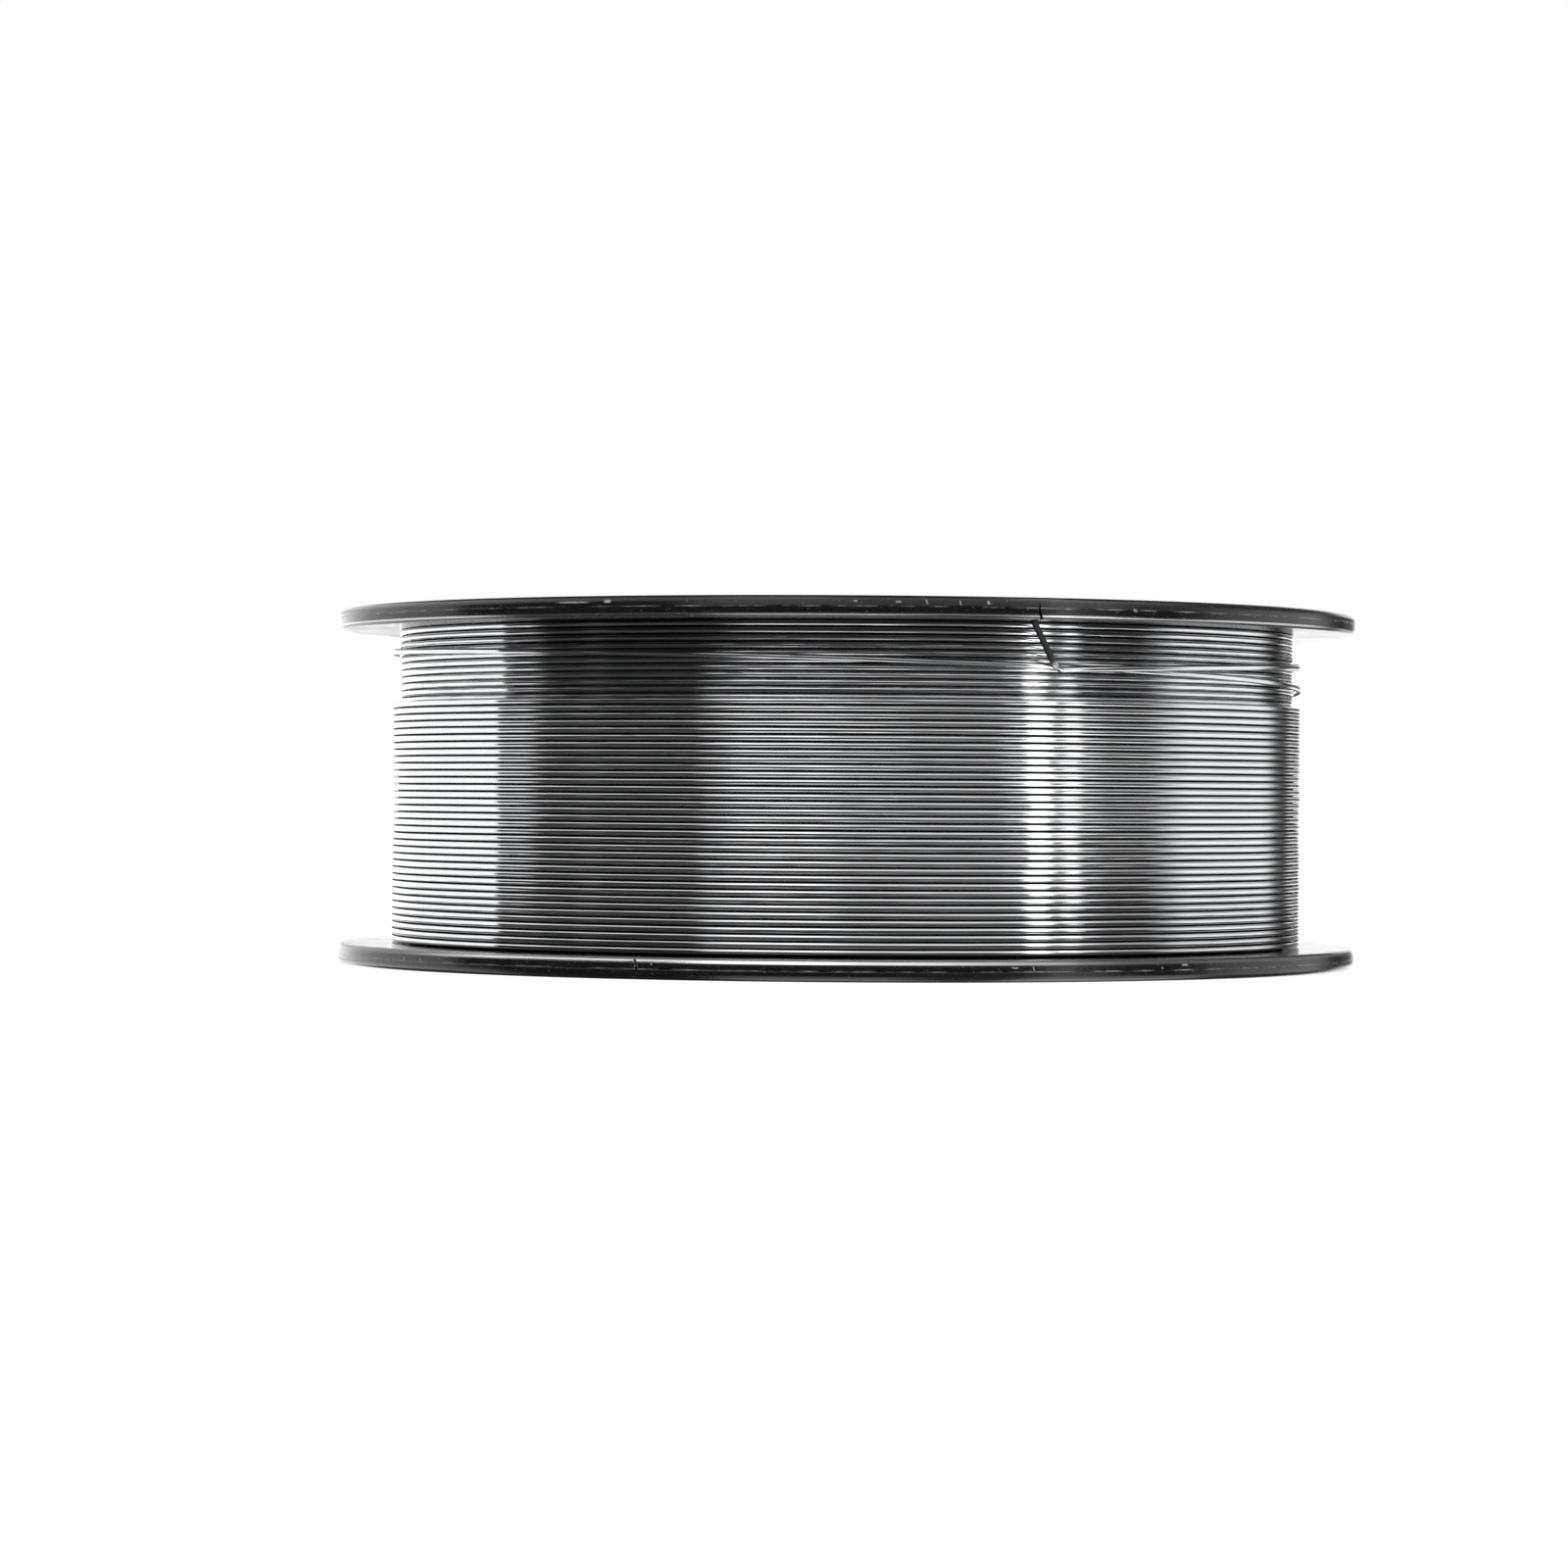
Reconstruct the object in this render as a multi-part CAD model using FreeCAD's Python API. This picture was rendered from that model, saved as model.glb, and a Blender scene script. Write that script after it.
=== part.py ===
import FreeCAD, Part
import math
import os

# A reel of fine solder wire, standing on one flange with its axis upright along Z.
# The origin is the middle of the lower flange's outer face. Angles go round from -Y towards +X.
# All sizes are in mm and all angles in degrees.

# Reel as a whole
flange_diameter = 100.0
overall_width = 34.5
rim_thickness = 2.0
bore_diameter = 16.0
drum_diameter = 42.0
catch_angle = 21.35

# Flange section
web_thickness = 1.3
bead_width = 1.7
shoulder_width = 1.3
shoulder_drop = 0.75
inner_bevel_width = 0.5
inner_bevel_height = 0.58

# Hub: bore tube, ribs and the spigot that plugs into the drum
hub_wall = 2.0
bore_lead_in = 0.6
spigot_wall = 1.4
spigot_depth = 8.0
spigot_clearance = 0.1
rib_thickness = 1.4
rib_setback = 0.8
rib_hub_height = 12.0
rib_rise = 1.0
fuse_depth = 0.3

# Snap tongues on the spigot and their windows in the drum
tongue_count = 4
tongue_width = 6.0
tongue_slot = 1.0
tongue_root = 1.0
barb_height = 0.9
barb_length = 1.8
barb_land = 0.4
barb_side_gap = 0.3
window_gap = 0.3

# Drum and the keys along its inside
drum_wall = 1.6
key_width = 2.0
key_gap = 0.15
key_start = 3.0
key_reach = 0.3

# Slit and holes that hold the wire's two ends
slit_width = 0.35
slit_bow = 0.3
slit_run_out = 1.0
slit_slant_angle = 11.0
catch_hole_diameter = 1.2
catch_hole_inset = 3.7
catch_lead_angle = 0.3
start_hole_diameter = 1.6
start_hole_wall = 0.15
start_hole_angle = 157.5

# Wire and its pack: how far the rim stands out past it, and the height at the top left bare
wire_diameter = 0.6
groove_depth = 5.2
bare_height = 7.0
first_turn_height = 0.35
turn_pitch = 2.5
turn_sides = 3
end_sides = 4
wind_gap = 0.05
core_drum_gap = 0.1

# The last turn climbs over the layer below, then falls and crosses itself.
# Its places are angles along the wire, counted from the right side of its last full turn.
climb_start_angle = -150.0
climb_end_angle = 225.0
turns_end_angle = 360.0
cross_start_angle = 378.0
cross_angle = 31.5
top_gap = 1.9
fall_height = 2.45
cross_lift = 0.65
cross_knots = 3

# The wire's outer end bends up to the flange and lies down behind it
bend_angle = 25.0
bend_run = 2.3
bend_radius = 1.3
entry_radius = 0.8
tip_radius = 0.7
tip_length = 3.0
tip_rest = 0.02

# Steps of the wire's path, and points per turn in the test of its gaps
layer_step_angle = 180.0
climb_step_angle = 90.0
gap_points_count = 60

# The wire's inner end, laid in the recess of the upper flange
start_tail_out = 3.8
start_tail_side = 6.0
start_tail_radius = 2.0

# Rosin core seen at the cut end
flux_diameter = 0.22
flux_length = 1.0
flux_gap = 0.01

# Sizes that follow from those above
flange_radius = flange_diameter / 2
bore_radius = bore_diameter / 2
hub_radius = bore_radius + hub_wall
drum_radius = drum_diameter / 2
drum_inner_radius = drum_radius - drum_wall
drum_length = overall_width - 2 * rim_thickness
spigot_radius = drum_inner_radius - spigot_clearance
spigot_inner_radius = spigot_radius - spigot_wall
spigot_end = rim_thickness + spigot_depth
recess_depth = rim_thickness - web_thickness
bead_inner_radius = flange_radius - bead_width
rib_count = 2 * tongue_count
rib_pitch = 360.0 / rib_count
tongue_pitch = 2 * rib_pitch
tongue_angle = rib_pitch / 2
key_angle = tongue_angle + rib_pitch
hub_angle = catch_angle + catch_lead_angle
catch_hole_radius = flange_radius - catch_hole_inset
start_hole_centre = drum_radius + start_hole_wall + start_hole_diameter / 2
barb_base = spigot_end - barb_length - barb_side_gap
wire_radius = wire_diameter / 2
layer_radius = flange_radius - groove_depth - wire_radius
core_radius = layer_radius - wire_radius - wind_gap
recess_wire_height = overall_width - recess_depth + tip_rest + wire_radius
layer_start = rim_thickness + first_turn_height
layer_end = overall_width - rim_thickness - bare_height
last_turn_top = overall_width - rim_thickness - top_gap
bend_turn_angle = turns_end_angle + 90 - bend_angle
full_turn_angle = 360.0

Vector = FreeCAD.Vector
up = Vector(0, 0, 1)
origin = Vector(0, 0, 0)


def on_circle(radius, angle, height=0.0):
    """Point at a radius and height, its angle counted from -Y towards +X."""
    turn = math.radians(angle)
    return Vector(radius * math.sin(turn), -radius * math.cos(turn), height)


def turned(shape, angle):
    """Copy of a shape turned about the reel's axis."""
    copy = shape.copy()
    copy.rotate(origin, up, angle)
    return copy


def ring_pattern(shape, count, pitch, start=0.0):
    """Copies of a shape at even steps round the axis."""
    return [turned(shape, start + step * pitch) for step in range(count)]


def section_point(radius, height):
    """Point of a half section, drawn in the plane that faces -Y."""
    return Vector(0, -radius, height)


def section_face(*places):
    """Face inside an outline of radius and height pairs."""
    points = [section_point(*place) for place in places]
    return Part.Face(Part.makePolygon(points + points[:1]))


def revolved(face, angle=360.0):
    """Solid of a half section turned about the axis."""
    return face.revolve(origin, up, angle)


def slab(face, thickness):
    """Flat plate of a half section, its middle on the section's plane."""
    plate = face.extrude(Vector(thickness, 0, 0))
    plate.translate(Vector(-thickness / 2, 0, 0))
    return plate


def radial_box(inner, outer, width, low, high, offset=0.0):
    """Box that points outwards along -Y, moved sideways by an offset."""
    corner = Vector(offset - width / 2, -outer, low)
    return Part.makeBox(width, outer - inner, high - low, corner)


def disc_outline():
    """Half section of rim bead, recessed web and spigot."""
    return section_face(
        (spigot_inner_radius, recess_depth),
        (bead_inner_radius, recess_depth),
        (bead_inner_radius, 0),
        (flange_radius - shoulder_width, 0),
        (flange_radius, shoulder_drop),
        (flange_radius, rim_thickness - inner_bevel_height),
        (flange_radius - inner_bevel_width, rim_thickness),
        (spigot_radius, rim_thickness),
        (spigot_radius, spigot_end),
        (spigot_inner_radius, spigot_end),
    )


def bore_tube():
    """Half of the tube that runs on a spindle, flush with the outer face and up to mid width."""
    return revolved(section_face(
        (bore_radius + bore_lead_in, 0),
        (hub_radius, 0),
        (hub_radius, overall_width / 2),
        (bore_radius, overall_width / 2),
        (bore_radius, bore_lead_in),
    ))


def hub_rib():
    """Radial rib between bore tube and spigot, taller at the bore tube."""
    inner = hub_radius - fuse_depth
    outer = spigot_inner_radius + fuse_depth
    return slab(section_face(
        (inner, rib_setback),
        (outer, rib_setback),
        (outer, spigot_end - rib_rise),
        (inner, rib_hub_height),
    ), rib_thickness)


def snap_barb():
    """Barb on the outside of a tongue, tapered towards the spigot's end."""
    foot = spigot_radius - fuse_depth
    crest = spigot_radius + barb_height
    profile = section_face(
        (foot, barb_base),
        (crest, barb_base),
        (crest, barb_base + barb_land),
        (spigot_radius, barb_base + barb_length),
        (foot, barb_base + barb_length),
    )
    sweep = math.degrees((tongue_width - 2 * barb_side_gap) / spigot_radius)
    return turned(revolved(profile, sweep), -sweep / 2)


def tongue_slots():
    """The two slots that free one tongue from the spigot's wall."""
    side = (tongue_width + tongue_slot) / 2
    inner = spigot_inner_radius - fuse_depth
    outer = spigot_radius + fuse_depth
    root = rim_thickness + tongue_root
    end = spigot_end + fuse_depth
    return [radial_box(inner, outer, tongue_slot, root, end, offset) for offset in (-side, side)]


def key_slot():
    """Slot in the spigot for one of the drum's keys."""
    inner = spigot_inner_radius - fuse_depth
    outer = spigot_radius + fuse_depth
    root = rim_thickness + key_start
    return radial_box(inner, outer, key_width + 2 * key_gap, root, spigot_end + fuse_depth)


def wire_slit():
    """Bowed, slanted slit from the rim to the hole that grips the wire's outer end."""
    half = slit_width / 2
    low = Vector(0, 0, 0)
    middle = Vector(slit_bow, 0, rim_thickness / 2)
    high = Vector(0, 0, rim_thickness)
    aside = Vector(half, 0, 0)
    left = Part.Arc(low - aside, middle - aside, high - aside).toShape()
    right = Part.Arc(low + aside, middle + aside, high + aside).toShape()
    foot = Part.makeLine(low - aside, low + aside)
    head = Part.makeLine(high - aside, high + aside)
    mouth = Part.Face(Part.Wire([foot, right, head, left]))
    slit = turned(mouth.extrude(Vector(0, -catch_hole_inset - slit_run_out, 0)), slit_slant_angle)
    slit.translate(on_circle(catch_hole_radius, catch_lead_angle))
    return slit


def upright_hole(radius, angle, diameter):
    """Round hole through the flange."""
    base = on_circle(radius, angle, -fuse_depth)
    return Part.makeCylinder(diameter / 2, rim_thickness + 2 * fuse_depth, base, up)


def flange():
    """Moulded flange with its half hub: outer face at z = 0, hub up, slit beside the front rib."""
    ribs = ring_pattern(hub_rib(), rib_count, rib_pitch)
    barbs = ring_pattern(snap_barb(), tongue_count, tongue_pitch, tongue_angle)
    body = revolved(disc_outline()).multiFuse([bore_tube()] + ribs + barbs)
    cuts = ring_pattern(key_slot(), tongue_count, tongue_pitch, key_angle)
    for slot in tongue_slots():
        cuts += ring_pattern(slot, tongue_count, tongue_pitch, tongue_angle)
    cuts.append(wire_slit())
    cuts.append(upright_hole(catch_hole_radius, catch_lead_angle, catch_hole_diameter))
    cuts.append(upright_hole(start_hole_centre, start_hole_angle, start_hole_diameter))
    return body.cut(cuts).removeSplitter()


def lower_flange():
    """Lower flange, set as it lies, one rib round from the upper one."""
    return turned(flange(), hub_angle - rib_pitch)


def upper_flange():
    """The same moulding turned over on top, its slit right of the front."""
    part = flange()
    part.rotate(origin, Vector(0, 1, 0), 180)
    part.translate(Vector(0, 0, overall_width))
    return turned(part, hub_angle)


def winding_drum():
    """Tube that carries the wire, with snap windows and keys, standing between the flanges."""
    low = rim_thickness
    high = rim_thickness + drum_length
    tube = revolved(section_face(
        (drum_inner_radius, low), (drum_radius, low), (drum_radius, high), (drum_inner_radius, high)
    ))
    key_low = rim_thickness + key_start + window_gap
    key = radial_box(
        spigot_inner_radius + key_reach, drum_inner_radius + fuse_depth, key_width,
        key_low, overall_width - key_low,
    )
    tube = tube.multiFuse(ring_pattern(key, tongue_count, tongue_pitch, key_angle))
    inner = drum_inner_radius - fuse_depth
    outer = drum_radius + fuse_depth
    window_low = barb_base - window_gap
    window_high = barb_base + barb_length + window_gap
    windows = []
    for base, top in (
        (window_low, window_high), (overall_width - window_high, overall_width - window_low)
    ):
        window = radial_box(inner, outer, tongue_width, base, top)
        windows += ring_pattern(window, tongue_count, tongue_pitch, tongue_angle)
    return turned(tube.cut(windows).removeSplitter(), hub_angle - rib_pitch)


def wire_core_layers():
    """The wound layers under the outermost one, as one plain ring that fills the reel."""
    inner = drum_radius + core_drum_gap
    low = rim_thickness
    high = rim_thickness + drum_length
    return revolved(section_face((inner, low), (core_radius, low), (core_radius, high), (inner, high)))


def smooth(share):
    """Even start and stop between 0 and 1."""
    share = min(max(share, 0.0), 1.0)
    return share * share * (3 - 2 * share)


def last_turn_height(angle):
    """Height of the wire at an angle along it, after it leaves the outer layer."""
    if angle <= climb_end_angle:
        share = (angle - climb_start_angle) / (climb_end_angle - climb_start_angle)
        return layer_end + (last_turn_top - layer_end) * smooth(share)
    share = (angle - climb_end_angle) / (bend_turn_angle - climb_end_angle)
    return last_turn_top - fall_height * share * share


def last_turn_point(angle):
    """Point of the wire's middle line on its last turns, lifted where it crosses itself."""
    lift = cross_lift * smooth((angle - cross_start_angle) / cross_angle)
    return on_circle(layer_radius + lift, 90 - angle, last_turn_height(angle))


def turn_start():
    """Angle along the wire at which the outer layer begins, and the layer's pitch."""
    room = layer_end - layer_start
    turns = max(1, round(room / turn_pitch))
    return climb_start_angle - turns * full_turn_angle, room / turns


def layer_point(angle):
    """Point of the wire's middle line in the outer layer or on its climb."""
    first, pitch = turn_start()
    if angle >= climb_start_angle:
        return last_turn_point(angle)
    height = layer_start + pitch * (angle - first) / full_turn_angle
    return on_circle(layer_radius, 90 - angle, height)


def heading(curve, angle):
    """Direction of a curve at an angle along the wire."""
    step = 0.1
    way = curve(angle + step) - curve(angle - step)
    return way.normalize()


def tangent_arc(start, way, end):
    """Arc from a point in a direction to an end point."""
    chord = end - start
    turn = way.getAngle(chord)
    if turn < 1e-6:
        return Part.makeLine(start, end)
    bulge = way.cross(chord).cross(chord) * -1
    if bulge.dot(way) < 0:
        bulge = bulge * -1
    sagitta = chord.Length / 2 * math.tan(turn / 2)
    middle = (start + end) * 0.5 + bulge.normalize() * sagitta
    return Part.Arc(start, middle, end).toShape()


def biarc(start, start_way, end, end_way):
    """Two arcs that leave a point in one direction and reach another in a second direction."""
    chord = end - start
    both = start_way + end_way
    spread = 2 * (1 - start_way.dot(end_way))
    along = chord.dot(both)
    if spread < 1e-9:
        reach = chord.dot(chord) / (2 * along)
    else:
        reach = (math.sqrt(along * along + spread * chord.dot(chord)) - along) / spread
    first = start + start_way * reach
    second = end - end_way * reach
    joint = (first + second) * 0.5
    joint_way = (second - first).normalize()
    return [tangent_arc(start, start_way, joint), tangent_arc(joint, joint_way, end)]


def winding_path(curve, first, last, step):
    """Biarcs along a curve between two angles, in equal steps near the one asked for."""
    edges = []
    count = round((last - first) / step)
    step = (last - first) / count
    for number in range(count):
        here = first + number * step
        there = here + step
        edges += biarc(curve(here), heading(curve, here), curve(there), heading(curve, there))
    return edges


def rounded_path(points, radii):
    """Straight runs through corner points, each corner rounded by an arc of its radius."""
    edges = []
    start = points[0]
    for before, corner, after, radius in zip(points, points[1:], points[2:], radii):
        way_in = (corner - before).normalize()
        way_out = (after - corner).normalize()
        reach = radius * math.tan(way_in.getAngle(way_out) / 2)
        arc_start = corner - way_in * reach
        arc_end = corner + way_out * reach
        edges.append(Part.makeLine(start, arc_start))
        edges.append(tangent_arc(arc_start, way_in, arc_end))
        start = arc_end
    edges.append(Part.makeLine(start, points[-1]))
    return edges


def wire_tube(edges, start, way, sides):
    """Wire of a few-sided section along a path, one corner turned away from the axis."""
    path = Part.Wire(edges)
    outwards = Vector(start.x, start.y, 0)
    across = way.cross(outwards).normalize()
    outwards = across.cross(way).normalize()
    corners = []
    for side in range(sides):
        turn = 2 * math.pi * side / sides
        corners.append(start + (outwards * math.cos(turn) + across * math.sin(turn)) * wire_radius)
    tube = Part.BRepOffsetAPI.MakePipeShell(path)
    tube.add(Part.makePolygon(corners + corners[:1]))
    tube.build()
    tube.makeSolid()
    return tube.shape()


def least_gap(edges):
    """Smallest clear distance between turns, measured on points evenly spaced along the wire."""
    spacing = 2 * math.pi * layer_radius / gap_points_count
    points = []
    for edge in edges:
        points += edge.discretize(Number=max(2, round(edge.Length / spacing)))
    apart = gap_points_count // 2
    least = min(
        points[here].distanceToPoint(points[there])
        for here in range(len(points)) for there in range(here + apart, len(points))
    )
    return least - wire_diameter


def wire_outer_turns():
    """The outermost layer, one unbroken wire from the lower flange to the end of its climb."""
    first, pitch = turn_start()
    layer = winding_path(layer_point, first, climb_start_angle, layer_step_angle)
    climb = winding_path(layer_point, climb_start_angle, turns_end_angle, climb_step_angle)
    lead_way = heading(layer_point, first)
    end_way = heading(layer_point, turns_end_angle)
    begin = layer_point(first)
    finish = layer_point(turns_end_angle)
    tip = begin - lead_way * wire_diameter
    lead = Part.makeLine(tip, begin)
    trail = Part.makeLine(finish, finish + end_way * wire_diameter)
    edges = [lead] + layer + climb + [trail]
    loops = (turns_end_angle - first) / full_turn_angle
    print("outer turns: %.1f loops at %.2f mm pitch" % (loops, pitch))
    print("least gap between turns: %.2f mm" % least_gap(layer + climb))
    return wire_tube(edges, tip, lead_way, turn_sides)


def wire_end_path():
    """Middle line of the wire's outer end: over the last turn, up to the catch hole and in."""
    way = heading(last_turn_point, turns_end_angle)
    joint = last_turn_point(turns_end_angle) + way * wire_diameter
    settled = joint + way * wire_diameter
    swing = bend_turn_angle - math.degrees(bend_run / layer_radius) - turns_end_angle
    edges = [Part.makeLine(joint, settled)]
    here, here_way = settled, way
    for knot in range(1, cross_knots + 1):
        place = turns_end_angle + swing * knot / cross_knots
        there, there_way = last_turn_point(place), heading(last_turn_point, place)
        edges += biarc(here, here_way, there, there_way)
        here, here_way = there, there_way
    corner = here + here_way * (last_turn_point(bend_turn_angle) - here).Length
    entry = on_circle(catch_hole_radius, catch_angle, overall_width - rim_thickness)
    over = on_circle(catch_hole_radius, catch_angle, recess_wire_height)
    tip = on_circle(catch_hole_radius - tip_length, catch_angle, recess_wire_height)
    corners = [here, corner, entry, over, tip]
    edges += rounded_path(corners, [bend_radius, entry_radius, tip_radius])
    return edges, joint, way, tip, (over - tip).normalize()


def wire_end_hook():
    """The wire's outer end, with the bore that holds its flux at the cut."""
    edges, joint, way, tip, inwards = wire_end_path()
    tube = wire_tube(edges, joint, way, end_sides)
    bore = Part.makeCylinder(flux_diameter / 2 + flux_gap, flux_length, tip, inwards)
    return tube.cut(bore)


def flux_core():
    """Rod of rosin flux in the wire's cut end."""
    tip, inwards = wire_end_path()[3:]
    return Part.makeCylinder(flux_diameter / 2, flux_length, tip, inwards)


def wire_start_tail():
    """The wire's inner end, up through its hole and laid in the upper flange's recess."""
    angle = hub_angle - start_hole_angle
    foot = on_circle(start_hole_centre, angle, overall_width - rim_thickness)
    over = on_circle(start_hole_centre, angle, recess_wire_height)
    corner = on_circle(start_hole_centre + start_tail_out, angle, recess_wire_height)
    sideways = on_circle(start_tail_side, angle + 90)
    edges = rounded_path([foot, over, corner, corner + sideways], [tip_radius, start_tail_radius])
    return wire_tube(edges, foot, up, end_sides)


pieces = {
    "lower_flange": lower_flange,
    "upper_flange": upper_flange,
    "winding_drum": winding_drum,
    "wire_core_layers": wire_core_layers,
    "wire_outer_turns": wire_outer_turns,
    "wire_end_hook": wire_end_hook,
    "wire_start_tail": wire_start_tail,
    "flux_core": flux_core,
}

os.makedirs("parts", exist_ok=True)
for name, make in pieces.items():
    shape = make()
    print("%s: %d solid, %.2f mm3, valid %s" % (name, len(shape.Solids), shape.Volume, shape.isValid()))
    shape.exportStep("parts/%s.step" % name)
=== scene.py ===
"""Looks of a reel of fine solder wire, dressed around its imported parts.

Sizes are in millimetres and angles in degrees, as in the part's source; a finished
mesh is in metres. Angles round the reel go from -Y, its front, towards +X.
"""

import logging
import math
from collections.abc import Callable, Mapping, Sequence
from dataclasses import dataclass, replace
from enum import Enum

import bmesh
import bpy
from mathutils import Matrix, Vector


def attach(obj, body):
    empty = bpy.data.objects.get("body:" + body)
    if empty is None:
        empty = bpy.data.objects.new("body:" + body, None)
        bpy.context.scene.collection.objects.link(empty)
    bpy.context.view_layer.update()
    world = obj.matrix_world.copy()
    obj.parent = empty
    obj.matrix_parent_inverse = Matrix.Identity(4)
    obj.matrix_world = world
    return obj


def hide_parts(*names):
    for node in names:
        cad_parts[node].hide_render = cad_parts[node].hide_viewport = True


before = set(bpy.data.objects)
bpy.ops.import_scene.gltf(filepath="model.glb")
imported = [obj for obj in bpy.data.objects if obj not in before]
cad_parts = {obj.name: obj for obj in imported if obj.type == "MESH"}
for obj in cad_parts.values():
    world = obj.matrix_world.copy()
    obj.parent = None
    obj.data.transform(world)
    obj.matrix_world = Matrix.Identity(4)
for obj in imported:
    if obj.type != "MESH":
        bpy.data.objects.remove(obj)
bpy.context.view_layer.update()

MM = 0.001
BROAD_FACE = 4.0  # level faces larger than this, in mm2, are shaded flat
LEVEL = 0.9999  # upright part of a level face's normal
PASS = 0.3  # how far a cutter passes a face, or a fused piece sinks into another, in mm
Pair = tuple[float, float]
Colour = tuple[float, float, float]
Mesh = bpy.types.Mesh
Material = bpy.types.Material
log = logging.getLogger("solder_reel")


class Slot(Enum):
    """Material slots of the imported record."""

    FLANGE = "flange_plastic"
    DRUM = "drum_plastic"
    WIRE = "solder_wire"
    FLUX = "rosin_flux"


class Side(Enum):
    """The two places of the one flange moulding."""

    LOWER = "lower"
    UPPER = "upper"


@dataclass(frozen=True)
class ReelSizes:
    """Sizes that several pieces share, in mm and degrees."""

    flange_radius: float = 50.0
    width: float = 34.5
    rim: float = 2.0
    web: float = 1.3
    hub_radius: float = 10.0
    bore_radius: float = 8.0
    spigot_radius: float = 19.3
    spigot_inner: float = 17.9
    spigot_end: float = 10.0
    drum_radius: float = 21.0
    drum_inner: float = 19.4
    catch_angle: float = 21.35
    catch_lead: float = 0.3
    catch_radius: float = 46.3
    rib_count: int = 8
    tongue_count: int = 4
    tongue_width: float = 6.0
    barb_base: float = 7.9
    barb_length: float = 1.8
    key_start: float = 3.0
    wire_radius: float = 0.3
    layer_radius: float = 44.5
    start_radius: float = 21.95
    start_angle: float = 157.5

    @property
    def recess(self) -> float:
        """Depth of the web below the rim's outer face."""
        return self.rim - self.web

    @property
    def hub_angle(self) -> float:
        """Angle of the rib by the upper flange's slit."""
        return self.catch_angle + self.catch_lead

    @property
    def rib_pitch(self) -> float:
        """Angle between neighbouring ribs."""
        return 360.0 / self.rib_count


def operator(operation: str, swapped: bool = False) -> Callable[..., "Value"]:
    """Method that puts a value and another number through one math node.

    Args:
        operation: Blender's name of what the node does.
        swapped: whether the other number comes first.

    Returns:
        The method, for use in the class of values.
    """

    def method(self: "Value", other: "Value | float") -> "Value":
        """The node's result."""
        operands = (other, self) if swapped else (self, other)
        return self.tree.node("ShaderNodeMath", {"operation": operation}, operands)

    return method


class Value:
    """A number or vector that flows between nodes; arithmetic on it adds math nodes."""

    __add__, __radd__ = operator("ADD"), operator("ADD", swapped=True)
    __sub__, __rsub__ = operator("SUBTRACT"), operator("SUBTRACT", swapped=True)
    __mul__, __rmul__ = operator("MULTIPLY"), operator("MULTIPLY", swapped=True)
    __truediv__, __rtruediv__ = operator("DIVIDE"), operator("DIVIDE", swapped=True)
    __pow__ = operator("POWER")
    at_least = operator("MAXIMUM")

    def __init__(self, tree: "NodeTree", socket: bpy.types.NodeSocket | None) -> None:
        """Keep the socket and the tree that it belongs to."""
        self.tree = tree
        self.socket = socket

    def math(self, operation: str, *others: "Value | float") -> "Value":
        """Math node on this value and others, in the order given."""
        return self.tree.node("ShaderNodeMath", {"operation": operation}, (self, *others))

    def size(self) -> "Value":
        """Value without its sign."""
        return self.math("ABSOLUTE")

    def step(self, low: "Value | float", high: "Value | float") -> "Value":
        """Smooth step from 0 at low to 1 at high."""
        inputs = {"Value": self, "From Min": low, "From Max": high}
        return self.tree.node("ShaderNodeMapRange", {"interpolation_type": "SMOOTHSTEP"}, inputs)

    def within(self, span: Pair, soft: float) -> "Value":
        """Mask of a span of values whose two ends fade over the soft width."""
        low, high = (self.step(end - soft / 2, end + soft / 2) for end in span)
        return low * (1 - high)

    def split(self) -> tuple["Value", "Value", "Value"]:
        """The three parts of a vector."""
        node = self.tree.node("ShaderNodeSeparateXYZ", {}, [self]).socket.node
        return tuple(Value(self.tree, socket) for socket in node.outputs)


class NodeTree:
    """Nodes and links of one tree, all made through one method."""

    def __init__(self, tree: bpy.types.NodeTree) -> None:
        """Keep Blender's tree."""
        self.tree = tree

    def node(
        self,
        kind: str,
        settings: Mapping[str, object] | None = None,
        inputs: Mapping[str, object] | Sequence[object] = (),
        output: str | int = 0,
    ) -> Value:
        """Add one node.

        Args:
            kind: Blender's name of the node type.
            settings: the node's properties, set before its sockets.
            inputs: values or links, by socket name or in the sockets' order.
            output: name or place of the output to hand back.

        Returns:
            The chosen output; nothing flows on from a node that has none.
        """
        made = self.tree.nodes.new(kind)
        for name, setting in (settings or {}).items():
            setattr(made, name, setting)
        given = inputs.items() if isinstance(inputs, Mapping) else enumerate(inputs)
        for key, value in given:
            if isinstance(value, Value):
                self.tree.links.new(value.socket, made.inputs[key])
            else:
                made.inputs[key].default_value = value
        return Value(self, made.outputs[output] if made.outputs else None)

    def vector(self, x: object, y: object, z: object) -> Value:
        """Vector of three values."""
        return self.node("ShaderNodeCombineXYZ", {}, [x, y, z])

    def noise(self, place: Value, scale: float, detail: float = 2.0) -> Value:
        """Soft noise between 0 and 1 over a place."""
        inputs = {"Vector": place, "Scale": scale, "Detail": detail}
        return self.node("ShaderNodeTexNoise", {}, inputs)


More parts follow.
